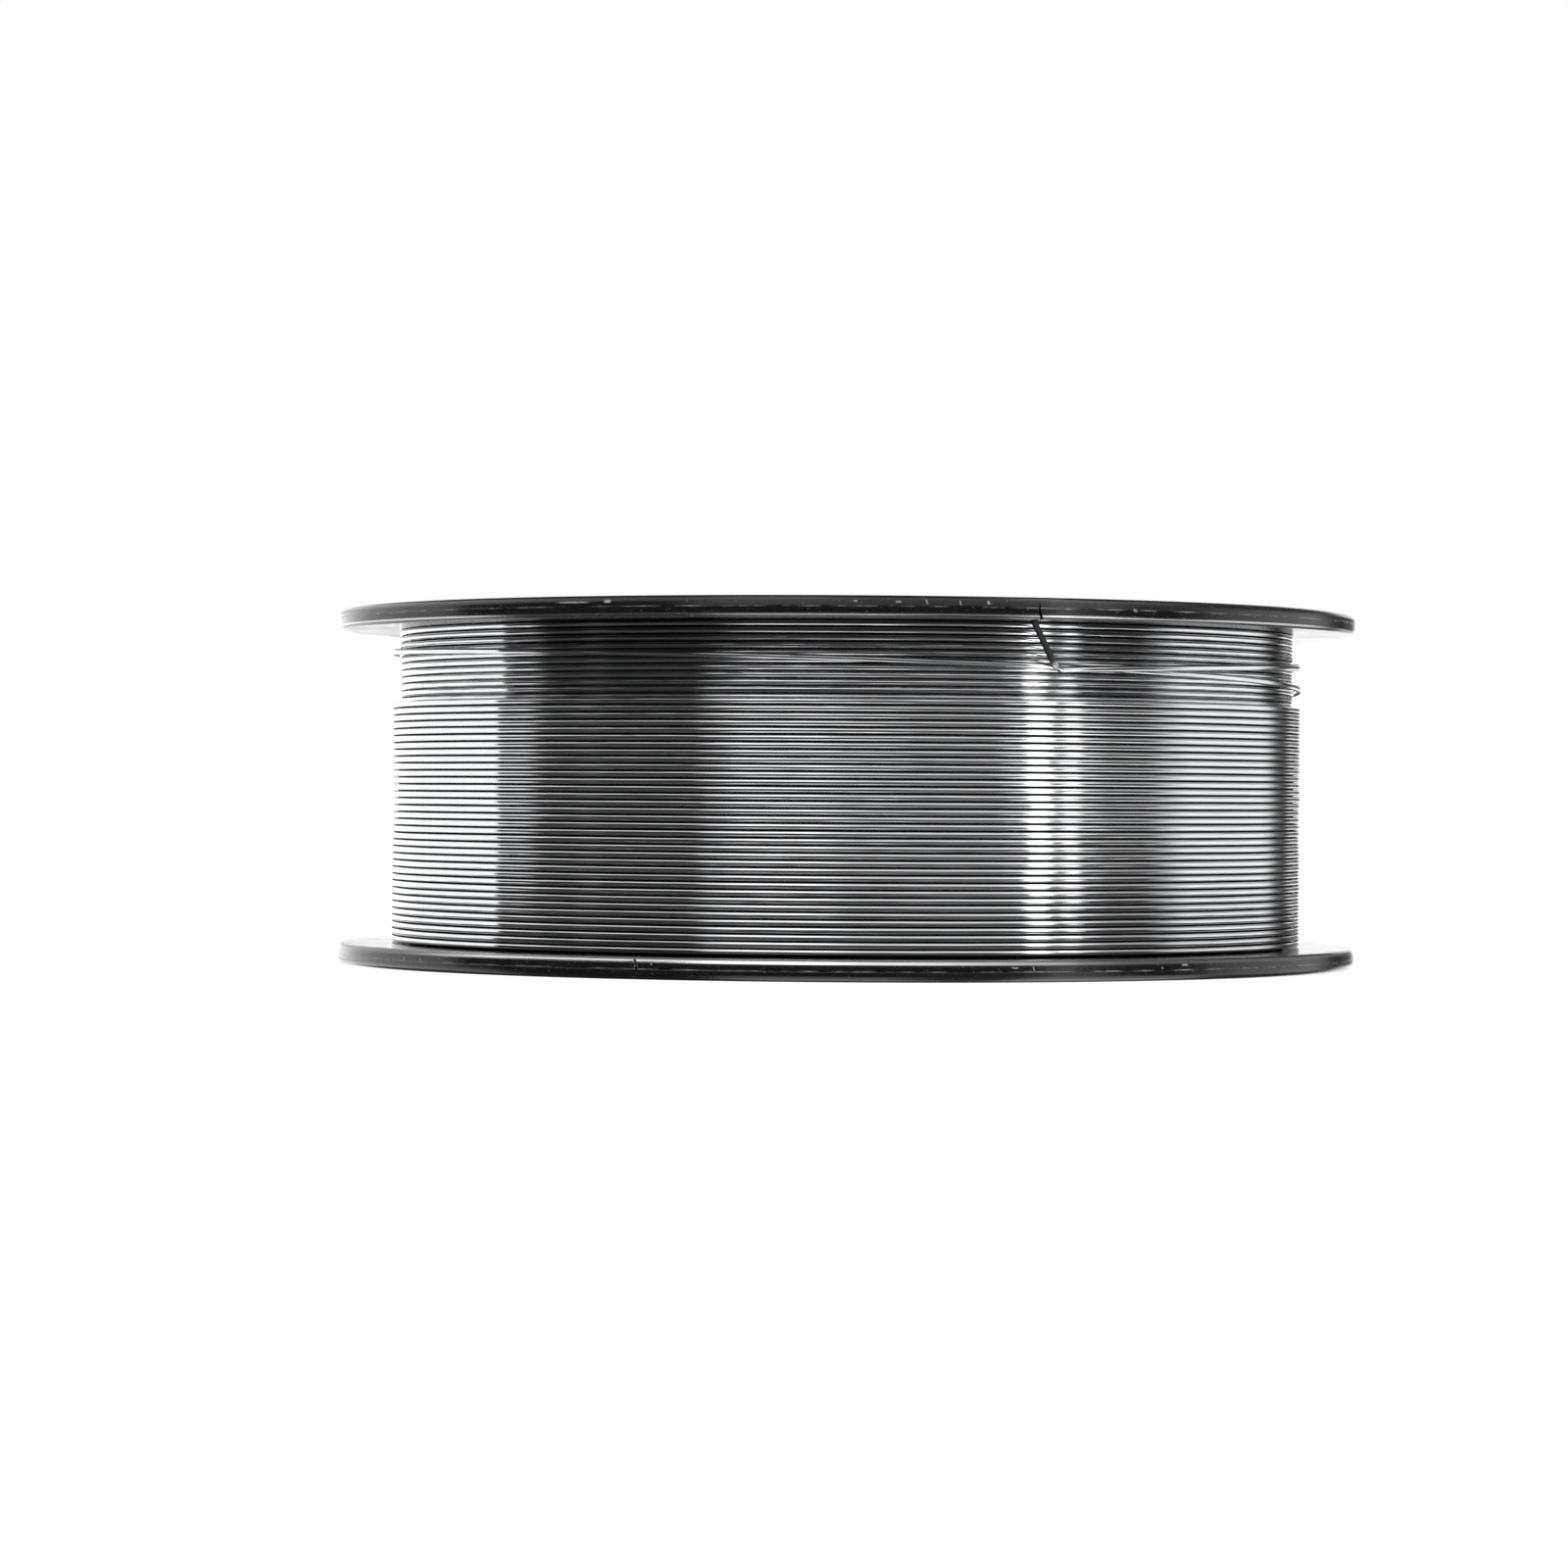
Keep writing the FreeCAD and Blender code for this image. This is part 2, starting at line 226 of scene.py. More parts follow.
class GeometryTree(NodeTree):
    """A geometry node tree with named inputs, run once to make a plain mesh."""

    def __init__(self, name: str) -> None:
        """Start a tree that takes and gives geometry.

        Args:
            name: the tree's name.
        """
        super().__init__(bpy.data.node_groups.new(name, "GeometryNodeTree"))
        self.values: dict[str, object] = {}
        face = self.tree.interface
        face.new_socket("Geometry", in_out="INPUT", socket_type="NodeSocketGeometry")
        face.new_socket("Geometry", in_out="OUTPUT", socket_type="NodeSocketGeometry")
        self.group_input = self.tree.nodes.new("NodeGroupInput")

    @property
    def start(self) -> Value:
        """The geometry that the tree is run on."""
        return Value(self, self.group_input.outputs["Geometry"])

    def given(self, name: str, value: float | int | Material) -> Value:
        """Named input of the tree.

        Args:
            name: the input's name.
            value: what it is set to when the tree is run.

        Returns:
            The input, ready for use in the tree.
        """
        kinds = {int: "NodeSocketInt", float: "NodeSocketFloat"}
        kind = kinds.get(type(value), "NodeSocketMaterial")
        item = self.tree.interface.new_socket(name, in_out="INPUT", socket_type=kind)
        self.values[item.identifier] = value
        return Value(self, self.group_input.outputs[name])

    def store(self, geometry: Value, name: str, value: Value) -> Value:
        """Keep a value on every point under a name."""
        inputs = {"Geometry": geometry, "Name": name, "Value": value}
        return self.node("GeometryNodeStoreNamedAttribute", {}, inputs)

    def run(self, geometry: Value, finish: Material, base: Mesh | None = None) -> Mesh:
        """Close the tree, run it on a base mesh and take the result.

        Args:
            geometry: the tree's last geometry.
            finish: material of the result.
            base: mesh that the tree starts from, if it needs one.

        Returns:
            A plain mesh with the result.
        """
        material = self.given("Finish", finish)
        real = self.node("GeometryNodeRealizeInstances", {}, {"Geometry": geometry})
        dressed = self.node(
            "GeometryNodeSetMaterial", {}, {"Geometry": real, "Material": material}
        )
        end = self.tree.nodes.new("NodeGroupOutput")
        self.tree.links.new(dressed.socket, end.inputs["Geometry"])
        carrier = linked(self.tree.name, base or bpy.data.meshes.new(self.tree.name))
        modifier = carrier.modifiers.new("nodes", "NODES")
        modifier.node_group = self.tree
        for identifier, value in self.values.items():
            modifier[identifier] = value
        mesh = baked(carrier)
        carrier.modifiers.remove(modifier)
        bpy.data.objects.remove(carrier)
        return mesh


def linked(name: str, data: bpy.types.ID) -> bpy.types.Object:
    """New object in the scene.

    Args:
        name: the object's name.
        data: its mesh or camera.

    Returns:
        The object.
    """
    made = bpy.data.objects.new(name, data)
    bpy.context.scene.collection.objects.link(made)
    return made


def baked(carrier: bpy.types.Object) -> Mesh:
    """Apply an object's modifiers.

    Args:
        carrier: the object, which keeps them.

    Returns:
        A plain mesh of what they make of it.
    """
    bpy.context.view_layer.update()
    graph = bpy.context.evaluated_depsgraph_get()
    seen = carrier.evaluated_get(graph)
    return bpy.data.meshes.new_from_object(seen, preserve_all_data_layers=True, depsgraph=graph)


def on_circle(radius: float, angle: float, height: float = 0.0) -> Vector:
    """Point at a radius, angle from the front and height."""
    turn = math.radians(angle)
    return Vector((radius * math.sin(turn), -radius * math.cos(turn), height))


def mesh_from(shape: bmesh.types.BMesh, name: str) -> Mesh:
    """Close an edited shape and turn its faces outwards.

    Args:
        shape: the shape, which is freed.
        name: the mesh's name.

    Returns:
        Its mesh.
    """
    bmesh.ops.remove_doubles(shape, verts=shape.verts, dist=1e-5)
    bmesh.ops.recalc_face_normals(shape, faces=shape.faces)
    mesh = bpy.data.meshes.new(name)
    shape.to_mesh(mesh)
    shape.free()
    return mesh


def lathe(name: str, outline: Sequence[Pair], steps: int) -> Mesh:
    """Ring of a closed outline turned about the axis.

    Args:
        name: the mesh's name.
        outline: radius and height of each corner, in order.
        steps: number of steps round the axis.

    Returns:
        The closed ring, in mm.
    """
    shape = bmesh.new()
    rings = [
        [shape.verts.new(on_circle(radius, 360.0 * step / steps, up)) for radius, up in outline]
        for step in range(steps)
    ]
    for here, there in zip(rings, rings[1:] + rings[:1]):
        for low in range(len(outline)):
            high = (low + 1) % len(outline)
            shape.faces.new((here[low], there[low], there[high], here[high]))
    return mesh_from(shape, name)


def prism(name: str, corners: Sequence[Vector], reach: Vector) -> Mesh:
    """Solid of a flat outline moved along a vector.

    Args:
        name: the mesh's name.
        corners: the outline's corners, in order.
        reach: the vector.

    Returns:
        The solid, in mm.
    """
    shape = bmesh.new()
    foot = [shape.verts.new(corner) for corner in corners]
    head = [shape.verts.new(corner + reach) for corner in corners]
    shape.faces.new(foot)
    shape.faces.new(list(reversed(head)))
    for low in range(len(corners)):
        high = (low + 1) % len(corners)
        shape.faces.new((foot[low], foot[high], head[high], head[low]))
    return mesh_from(shape, name)


def across_front(
    name: str, places: Sequence[Pair], width: float, aside: float = 0.0
) -> Mesh:
    """Solid of radius and height pairs at the front, spread sideways.

    Args:
        name: the mesh's name.
        places: radius and height of each corner, in order.
        width: how wide the solid is.
        aside: how far to the right of the front its middle lies.

    Returns:
        The solid, in mm.
    """
    corners = [Vector((aside - width / 2, -radius, height)) for radius, height in places]
    return prism(name, corners, Vector((width, 0, 0)))


def radial_box(
    name: str, inner: float, outer: float, width: float, low: float, high: float, aside: float = 0.0
) -> Mesh:
    """Box that points outwards from the axis at the front, moved sideways."""
    places = [(inner, low), (outer, low), (outer, high), (inner, high)]
    return across_front(name, places, width, aside)


def pin(name: str, radius: float, centre: Vector, height: float) -> Mesh:
    """Upright round pin that stands on its centre, in mm."""
    corners = [centre + on_circle(radius, 360.0 * step / 32) for step in range(32)]
    return prism(name, corners, Vector((0, 0, height)))


def ring_of(mesh: Mesh, count: int, first: float, finish: Material) -> Mesh:
    """Copies of a mesh at even steps round the axis, made by a node tree.

    Args:
        mesh: the piece that is repeated.
        count: how many there are in a full turn.
        first: angle of the first one.
        finish: material of the copies.

    Returns:
        A mesh of all the copies.
    """
    tree = GeometryTree("ring_" + mesh.name)
    copies = tree.given("Count", count)
    start = tree.given("First Angle", math.radians(first))
    points = tree.node("GeometryNodePoints", {}, {"Count": copies})
    place = tree.node("GeometryNodeInputIndex")
    turn = start + place * (math.tau / copies)
    placed = tree.node(
        "GeometryNodeInstanceOnPoints",
        {},
        {"Points": points, "Instance": tree.start, "Rotation": tree.vector(0.0, 0.0, turn)},
    )
    return tree.run(placed, finish, mesh)


def cut_or_fuse(base: Mesh, steps: Sequence[tuple[str, Mesh]]) -> Mesh:
    """Exact booleans on a mesh.

    Args:
        base: the mesh worked on.
        steps: operation name and the other mesh of each step, in order.

    Returns:
        The finished mesh.
    """
    body = linked("body", base)
    tools = []
    for operation, mesh in steps:
        tool = linked("tool", mesh)
        modifier = body.modifiers.new(operation, "BOOLEAN")
        modifier.operation = operation
        modifier.solver = "EXACT"
        modifier.object = tool
        tools.append(tool)
    result = baked(body)
    for spent in [body, *tools]:
        bpy.data.objects.remove(spent)
    return result


def finished(
    name: str, mesh: Mesh, finish: Material, nodes: Sequence[str], sharp: float = 30.0
) -> None:
    """Put a finished piece in the scene and tell the frame about it.

    Args:
        name: the piece's name.
        mesh: its mesh, in metres and in place.
        finish: its material.
        nodes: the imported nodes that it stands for.
        sharp: edges that turn by more than this many degrees stay sharp.
    """
    mesh.name = name
    mesh.materials.clear()
    mesh.materials.append(finish)
    mesh.shade_smooth()
    for face in mesh.polygons:
        if abs(face.normal.z) > LEVEL and face.area > BROAD_FACE * MM * MM:
            face.use_smooth = False
    mesh.set_sharp_from_angle(angle=math.radians(sharp))
    piece = linked(name, mesh)
    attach(piece, "root")
    if nodes:
        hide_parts(*nodes)
    stands_for = ", ".join(nodes) or "nothing"
    log.info("%s: %d faces, stands for %s", name, len(mesh.polygons), stands_for)


class ShaderTree(NodeTree):
    """Node tree of one material."""

    def __init__(self, name: str) -> None:
        """Start a material with an empty tree.

        Args:
            name: the material's name.
        """
        self.material = bpy.data.materials.new(name)
        self.material.use_nodes = True
        self.material.node_tree.nodes.clear()
        super().__init__(self.material.node_tree)

    def place(self) -> Value:
        """Place on the piece, in mm."""
        inputs = {"Vector": self.node("ShaderNodeTexCoord", output="Object"), "Scale": 1 / MM}
        return self.node("ShaderNodeVectorMath", {"operation": "SCALE"}, inputs)

    def kept(self, name: str) -> Value:
        """Value stored on the piece's points under a name."""
        return self.node("ShaderNodeAttribute", {"attribute_name": name}, output="Fac")

    def blend(self, share: Value | float, low: Value | Colour, high: Value | Colour) -> Value:
        """Colour between two colours."""
        low, high = (end if isinstance(end, Value) else (*end, 1.0) for end in (low, high))
        return self.node("ShaderNodeMix", {"data_type": "RGBA"}, {0: share, 6: low, 7: high}, 2)

    def bump(self, height: Value, depth: float, **below: Value) -> Value:
        """Normal of a surface whose height varies by a depth in mm, over a Normal below it."""
        inputs = {"Height": height, "Distance": depth * MM, "Strength": 1.0, **below}
        return self.node("ShaderNodeBump", {}, inputs)

    def done(self, **sockets: object) -> Material:
        """Close the tree with a principled shader.

        Args:
            sockets: values of its sockets, their names with _ for each space.

        Returns:
            The material.
        """
        inputs = {name.replace("_", " "): value for name, value in sockets.items()}
        shader = self.node("ShaderNodeBsdfPrincipled", {}, inputs)
        self.node("ShaderNodeOutputMaterial", {}, {"Surface": shader})
        return self.material


@dataclass(frozen=True)
class Nick:
    """A small bruise on a flange's rim: its angle, height and size."""

    angle: float
    height: float
    width: float = 0.5
    tall: float = 0.35
    slant: float = 0.3

    def mask(self, angle: Value, height: Value, grain: Value, rub: Value) -> Value:
        """How strongly the bruise shows.

        Args:
            angle: angle of the place.
            height: height of the place.
            grain: fine noise that breaks the bruise up.
            rub: drawn-out noise that frays its edges.

        Returns:
            0 where it doesn't show, up to 1.
        """
        rise = height - self.height
        tilt = angle + rise * self.slant + (grain - 0.5) * self.width
        across = (tilt - self.angle).size().step(self.width, self.width * 0.3)
        up = (rise + (rub - 0.5) * self.tall).size().step(self.tall, self.tall * 0.4)
        return across * up * (0.25 + 0.75 * grain.step(0.35, 0.6))


@dataclass(frozen=True)
class BlackPlastic:
    """Black moulded plastic with a satin sheen, scuffed along its rim.

    Depths run inwards from the flange's outer face. The moulding seam is whitened in
    places, partly real flash and partly a painted highlight. The rim's inner edge holds
    a painted highlight, a whitish metal-like line, brightest over an arc.
    """

    name: str
    shade: Colour = (0.013, 0.013, 0.014)
    # Colour of wear marks, and of the seam line's partly painted highlight
    wear_and_sheen: Colour = (0.72, 0.72, 0.73)
    gloss: Pair = (0.1, 0.2)
    rim_radius: float = 50.0
    rim_fade: Pair = (1.6, 0.4)
    nicks: tuple[Nick, ...] = ()
    outer_face: float = 0.0
    inwards: float = 1.0
    seam_sheen_depth: float = 1.0
    seam_sheen_fade: Pair = (0.07, 0.03)
    # Painted highlight on the rim's inner edge: its depth, half width, crest fade, colour, least
    # share and arc
    glint_depth: float = 1.71
    glint_half: float = 0.17
    glint_crest_fade: Pair = (1.88, 1.94)
    glint_colour: Colour = (0.0, 0.0, 0.0)
    glint_least: float = 0.12
    glint_arc: Pair = (-180.0, 180.0)
    glint_arc_fade: float = 26.0

    def material(self) -> Material:
        """Build the nodes.

        Returns:
            The material.
        """
        tree = ShaderTree(self.name)
        place = tree.place()
        x, y, z = place.split()
        angle = x.math("ARCTAN2", y * -1.0) * math.degrees(1)
        depth = (z - self.outer_face) * self.inwards
        edge = ((x * x + y * y) ** 0.5).step(*(self.rim_radius - fade for fade in self.rim_fade))
        cloud = tree.noise(place, scale=0.12, detail=3.0)
        grain = tree.noise(place, scale=9.0)
        rub = tree.noise(tree.vector(x * 0.35, y * 0.35, z * 4.0), scale=1.1, detail=4.0)
        haze = tree.noise(tree.vector(x * 1.5, y * 1.5, z * 6.0), scale=1.3, detail=5.0)
        gaps = tree.noise(tree.vector(x * 0.4, y * 0.4, 0.0), scale=1.0, detail=6.0)
        scuff = rub.step(0.58, 0.74) * grain.step(0.45, 0.62) * 0.08
        speck = tree.noise(place, scale=4.3, detail=1.0).step(0.7, 0.78) * 0.22
        # The seam line is whitened flash, partly a painted highlight
        seam = (depth - self.seam_sheen_depth).size().step(*self.seam_sheen_fade) * gaps.step(0.4, 0.75) * 0.6
        bruise = scuff.at_least(speck).at_least(seam)
        for nick in self.nicks:
            bruise = bruise.at_least(nick.mask(angle, z, grain, rub))
        bruise = (bruise + haze.step(0.45, 0.8) * 0.02) * edge
        # Painted highlight: a whitish metal-like line on the rim's inner edge and crest stands in
        # for its glint, strongest over an arc round the reel
        line = (depth - self.glint_depth).size().step(self.glint_half, self.glint_half * 0.6)
        crest = depth.step(*self.glint_crest_fade) * 0.7
        arc = angle.within(self.glint_arc, self.glint_arc_fade)
        painted_glint = line.at_least(crest) * edge * (self.glint_least + (1 - self.glint_least) * arc)
        colour = tree.blend(painted_glint, tree.blend(bruise, self.shade, self.wear_and_sheen), self.glint_colour)
        low, high = self.gloss
        rough = low + (high - low) * cloud + bruise * 0.3 + (haze - 0.5) * 0.2 * edge
        normal = tree.bump(bruise * -1.0, 0.05, Normal=tree.bump(grain + haze, 0.006))
        return tree.done(
            Base_Color=colour, Metallic=painted_glint, Roughness=rough, Normal=normal, IOR=1.42
        )


@dataclass(frozen=True)
class BrightSolder:
    """Bright drawn solder with fine streaks along the wire; painted shade where turns meet."""

    name: str
    bright: Colour = (0.76, 0.77, 0.78)
    dull: Colour = (0.45, 0.45, 0.47)
    painted_shade: Colour = (0.06, 0.06, 0.06)
    gloss: Pair = (0.03, 0.09)
    flank: Pair = (0.76, 0.98)
    shade_below_fade: Pair = (0.0, -1.0)
    end_shade_along: Pair = (1e6, 2e6)

    def material(self) -> Material:
        """Build the nodes.

        Returns:
            The material.
        """
        tree = ShaderTree(self.name)
        along = tree.kept("along") * (1 / MM)
        rise = tree.kept("rise")
        thread = tree.vector(along * 0.12, rise * 2.6, along * 0.01)
        streak = tree.noise(thread, scale=2.0, detail=1.0)
        colour = tree.blend(streak.step(0.42, 0.75) * 0.35, self.bright, self.dull)
        # Painted shade: covered turns darken below the outer layer's top
        covered = tree.place().split()[2].step(*self.shade_below_fade)
        # Painted shade on the hook's end past its first bend
        shaded_end = along.step(*self.end_shade_along)
        # Painted shade on each wire's flanks, where neighbouring turns meet
        shade_mask = rise.size().step(*self.flank).at_least(covered).at_least(shaded_end)
        colour = tree.blend(shade_mask, colour, self.painted_shade)
        low, high = self.gloss
        rough = low + (high - low) * streak + shade_mask * 0.5
        ridge = tree.bump(streak, 0.005)
        return tree.done(Base_Color=colour, Metallic=1.0, Roughness=rough, Normal=ridge)


@dataclass(frozen=True)
class AmberRosin:
    """Clear brittle rosin flux."""

    name: str
    light: Colour = (0.72, 0.44, 0.12)
    dark: Colour = (0.42, 0.2, 0.04)

    def material(self) -> Material:
        """Build the nodes.

        Returns:
            The material.
        """
        tree = ShaderTree(self.name)
        place = tree.place()
        cloud = tree.noise(place, scale=6.0, detail=3.0)
        colour = tree.blend(cloud, self.dark, self.light)
        chip = tree.bump(tree.noise(place, scale=20.0), 0.01)
        return tree.done(Base_Color=colour, Roughness=0.12 + cloud * 0.1, Normal=chip, IOR=1.53)


@dataclass
class FlangeMoulding:
    """The flange with its half hub, as moulded: outer face at z = 0, hub upwards."""

    sizes: ReelSizes
    steps: int = 288
    land_inset: float = 0.03
    bead_width: float = 1.7
    bead_foot: tuple[Pair, ...] = ((0.35, 0.0), (0.1, 0.03), (0.02, 0.12))
    bead_crest: tuple[Pair, ...] = ((0.0, 0.1), (0.04, 0.02), (0.1, 0.0))
    shoulder_width: float = 1.3
    shoulder_drop: float = 0.75
    arc_steps: int = 8
    seam_height: float = 0.14
    seam_foot: float = 0.05
    fillet_width: float = 0.48
    fillet_height: float = 0.7
    level_strip: float = 0.5
    spigot_fillet: Pair = (0.15, 0.1)
    spigot_lead: float = 0.25
    spigot_edge: float = 0.12
    bore_lead: float = 0.6
    hub_edge: float = 0.15
    rib_width: float = 1.4
    rib_heights: tuple[float, float, float] = (0.8, 9.0, 12.0)
    barb_root: float = 0.35
    barb_reach: float = 0.9
    barb_land: float = 0.4
    slot_width: float = 1.0
    slot_reach: float = 0.2
    key_slot_width: float = 2.3
    mark_count: int = 6
    mark_radius: float = 1.6
    mark_place: float = 34.0
    mark_depth: float = 0.05
    slit_widths: Pair = (0.05, 0.3)
    slit_bow: float = 0.3
    slit_slant: float = 11.0
    slit_steps: int = 8
    catch_hole: float = 0.6
    start_hole: float = 0.8

    def outline(self) -> list[Pair]:
        """Section of rim, web and spigot.

        Returns:
            Radius and height of each corner, in order.
        """
        s = self.sizes
        land = s.flange_radius - self.land_inset
        bead = s.flange_radius - self.bead_width
        shoulder = s.flange_radius - self.shoulder_width
        turns = [math.radians(90.0 * step / self.arc_steps) for step in range(self.arc_steps + 1)]
        points = [(s.spigot_inner, s.recess), (s.spigot_inner + PASS, s.recess)]
        points += [(bead - inset, s.recess - drop) for inset, drop in self.bead_foot]
        points += [(bead + inset, height) for inset, height in self.bead_crest]
        for turn in turns:
            radius = shoulder + (land - shoulder) * math.sin(turn)
            points.append((radius, self.shoulder_drop * (1 - math.cos(turn))))
        seam = self.shoulder_drop + self.seam_height
        points += [(s.flange_radius, seam), (land, seam + self.seam_foot)]
        for turn in turns:
            radius = land - self.fillet_width * (1 - math.cos(turn))
            points.append((radius, s.rim - self.fillet_height * (1 - math.sin(turn))))
        points += [(land - self.fillet_width - self.level_strip, s.rim), (s.drum_radius, s.rim)]
        out, up = self.spigot_fillet
        outer, inner, top = s.spigot_radius, s.spigot_inner, s.spigot_end
        points += [(outer + out, s.rim), (outer, s.rim + up)]
        points += [(outer, top - self.spigot_lead), (outer - self.spigot_lead, top)]
        points += [(inner + self.spigot_edge, top), (inner, top - self.spigot_edge)]
        return points

    def hub_outline(self) -> list[Pair]:
        """Section of the bore tube.

        Returns:
            Radius and height of each corner, in order.
        """
        s = self.sizes
        half = s.width / 2
        points = [(s.bore_radius + self.bore_lead, 0.0), (s.hub_radius - self.hub_edge, 0.0)]
        points += [(s.hub_radius, self.hub_edge), (s.hub_radius, half)]
        points += [(s.bore_radius, half), (s.bore_radius, self.bore_lead)]
        return points

    def rib(self) -> Mesh:
        """Radial rib from bore tube to spigot.

        Returns:
            The rib at the front, in mm.
        """
        s = self.sizes
        inner, outer = s.hub_radius - PASS, s.spigot_inner + PASS
        foot, low, high = self.rib_heights
        places = [(inner, foot), (outer, foot), (outer, low), (inner, high)]
        return across_front("rib", places, self.rib_width)

    def barb(self) -> Mesh:
        """Barb of one snap tongue.

        Returns:
            The barb at the front, in mm.
        """
        s = self.sizes
        foot, crest = s.spigot_radius - self.barb_root, s.spigot_radius + self.barb_reach
        low, high = s.barb_base, s.barb_base + s.barb_length
        places = [(foot, low), (crest, low), (crest, low + self.barb_land)]
        places += [(s.spigot_radius, high), (foot, high)]
        return across_front("barb", places, s.tongue_width - 2 * PASS)

    def slit(self) -> Mesh:
        """Bowed slit from rim to catch hole, narrow at the outer face.

        Returns:
            The slit's cutter, in mm.
        """
        s = self.sizes
        narrow, wide = self.slit_widths
        left, right = [], []
        for step in range(self.slit_steps + 1):
            height = -PASS + (s.rim + 2 * PASS) * (step / self.slit_steps)
            bow = self.slit_bow * (1 - (2 * height / s.rim - 1) ** 2)
            half = (narrow + (wide - narrow) * min(max(height / s.rim, 0.0), 1.0)) / 2
            left.append(Vector((bow - half, 0, height)))
            right.append(Vector((bow + half, 0, height)))
        reach = s.catch_radius - s.flange_radius - 1.0
        mesh = prism("slit", left + right[::-1], Vector((0, reach, 0)))
        place = Matrix.Translation(on_circle(s.catch_radius, s.catch_lead))
        mesh.transform(place @ Matrix.Rotation(math.radians(self.slit_slant), 4, "Z"))
        return mesh

    def build(self, finish: Material) -> Mesh:
        """Moulding in mm.

        Args:
            finish: material that the working meshes carry.

        Returns:
            The finished mesh, outer face down.
        """
        s = self.sizes
        tongues = s.tongue_count
        tongue_angle = s.rib_pitch / 2
        key_angle = tongue_angle + s.rib_pitch
        aside = (s.tongue_width + self.slot_width) / 2
        low, top = s.rim + 1.0, s.spigot_end + PASS
        wall = (s.spigot_inner - PASS, s.spigot_radius + self.slot_reach)
        left, right = (
            radial_box("slot", *wall, self.slot_width, low, top, at) for at in (-aside, aside)
        )
        key = radial_box("key_slot", *wall, self.key_slot_width, s.rim + s.key_start, top)
        catch = on_circle(s.catch_radius, s.catch_lead, -PASS)
        start = on_circle(s.start_radius, s.start_angle, -PASS)
        through = s.rim + 2 * PASS
        foot = on_circle(self.mark_place, 0.0, s.recess - 1.0)
        mark = pin("mark", self.mark_radius, foot, 1.0 + self.mark_depth)
        mark_angle = 90.0 / self.mark_count
        rings = [
            ("UNION", lathe("bore_tube", self.hub_outline(), 96)),
            ("UNION", ring_of(self.rib(), s.rib_count, 0.0, finish)),
            ("UNION", ring_of(self.barb(), tongues, tongue_angle, finish)),
            ("DIFFERENCE", ring_of(left, tongues, tongue_angle, finish)),
            ("DIFFERENCE", ring_of(right, tongues, tongue_angle, finish)),
            ("DIFFERENCE", ring_of(key, tongues, key_angle, finish)),
            ("DIFFERENCE", ring_of(mark, self.mark_count, mark_angle, finish)),
            ("DIFFERENCE", self.slit()),
            ("DIFFERENCE", pin("catch_hole", self.catch_hole, catch, through)),
            ("DIFFERENCE", pin("start_hole", self.start_hole, start, through)),
        ]
        return cut_or_fuse(lathe("disc", self.outline(), self.steps), rings)


@dataclass
class Flanges:
    """Both flanges of the reel: one moulding, used twice."""

    sizes: ReelSizes
    upper_nicks: tuple[tuple[float, ...], ...] = (
        (0.9, 33.95, 0.25, 0.12), (5.3, 33.9, 0.4, 0.12), (8.2, 33.95, 0.12, 0.3),
        (11.7, 33.85, 0.12, 0.25), (14.7, 33.9, 0.2, 0.2), (23.4, 33.45, 0.6, 0.07),
        (31.4, 33.5, 0.3, 0.2), (-25.5, 33.95, 0.5, 0.2), (-29.5, 33.9, 2.2, 0.1),
    )
    lower_nicks: tuple[tuple[float, ...], ...] = (
        (-22.0, 1.5, 0.22, 0.45), (-20.2, 1.45, 0.12, 0.1), (17.8, 1.35, 0.45, 0.12),
        (19.8, 1.3, 0.12, 0.3), (21.3, 1.6, 0.35, 0.07), (35.2, 1.2, 0.15, 0.1),
        (38.3, 1.45, 0.5, 0.14), (-55.3, 1.15, 0.15, 0.2), (-52.0, 1.2, 0.12, 0.1),
    )

    def place(self, side: Side) -> Matrix:
        """Place of the moulding on the reel.

        Args:
            side: which flange it is to be.

        Returns:
            The transform, from mm to metres.
        """
        s = self.sizes
        if side is Side.LOWER:
            placed = Matrix.Rotation(math.radians(s.hub_angle - s.rib_pitch), 4, "Z")
        else:
            over = Matrix.Translation((0, 0, s.width)) @ Matrix.Rotation(math.pi, 4, "Y")
            placed = Matrix.Rotation(math.radians(s.hub_angle), 4, "Z") @ over
        return Matrix.Scale(MM, 4) @ placed

    def build(self) -> None:
        """Make both flanges."""
        moulding = FlangeMoulding(self.sizes)
        # Each flange's glint colour paints a highlight on its rim's inner edge
        lower = BlackPlastic(
            "lower_flange_black",
            nicks=tuple(Nick(*row) for row in self.lower_nicks),
            glint_colour=(0.88, 0.88, 0.88),
            glint_arc=(-46.0, 18.0),
        )
        upper = BlackPlastic(
            "upper_flange_black",
            nicks=tuple(Nick(*row) for row in self.upper_nicks),
            outer_face=self.sizes.width,
            inwards=-1.0,
            glint_colour=(0.5, 0.5, 0.51),
            glint_half=0.11,
        )
        mesh: Mesh | None = None
        for side, plastic in ((Side.LOWER, lower), (Side.UPPER, upper)):
            finish = plastic.material()
            mesh = moulding.build(finish) if mesh is None else mesh
            placed = mesh.copy()
            placed.transform(self.place(side))
            node = side.value + "_flange"
            finished(node + "_moulding", placed, finish, [node])


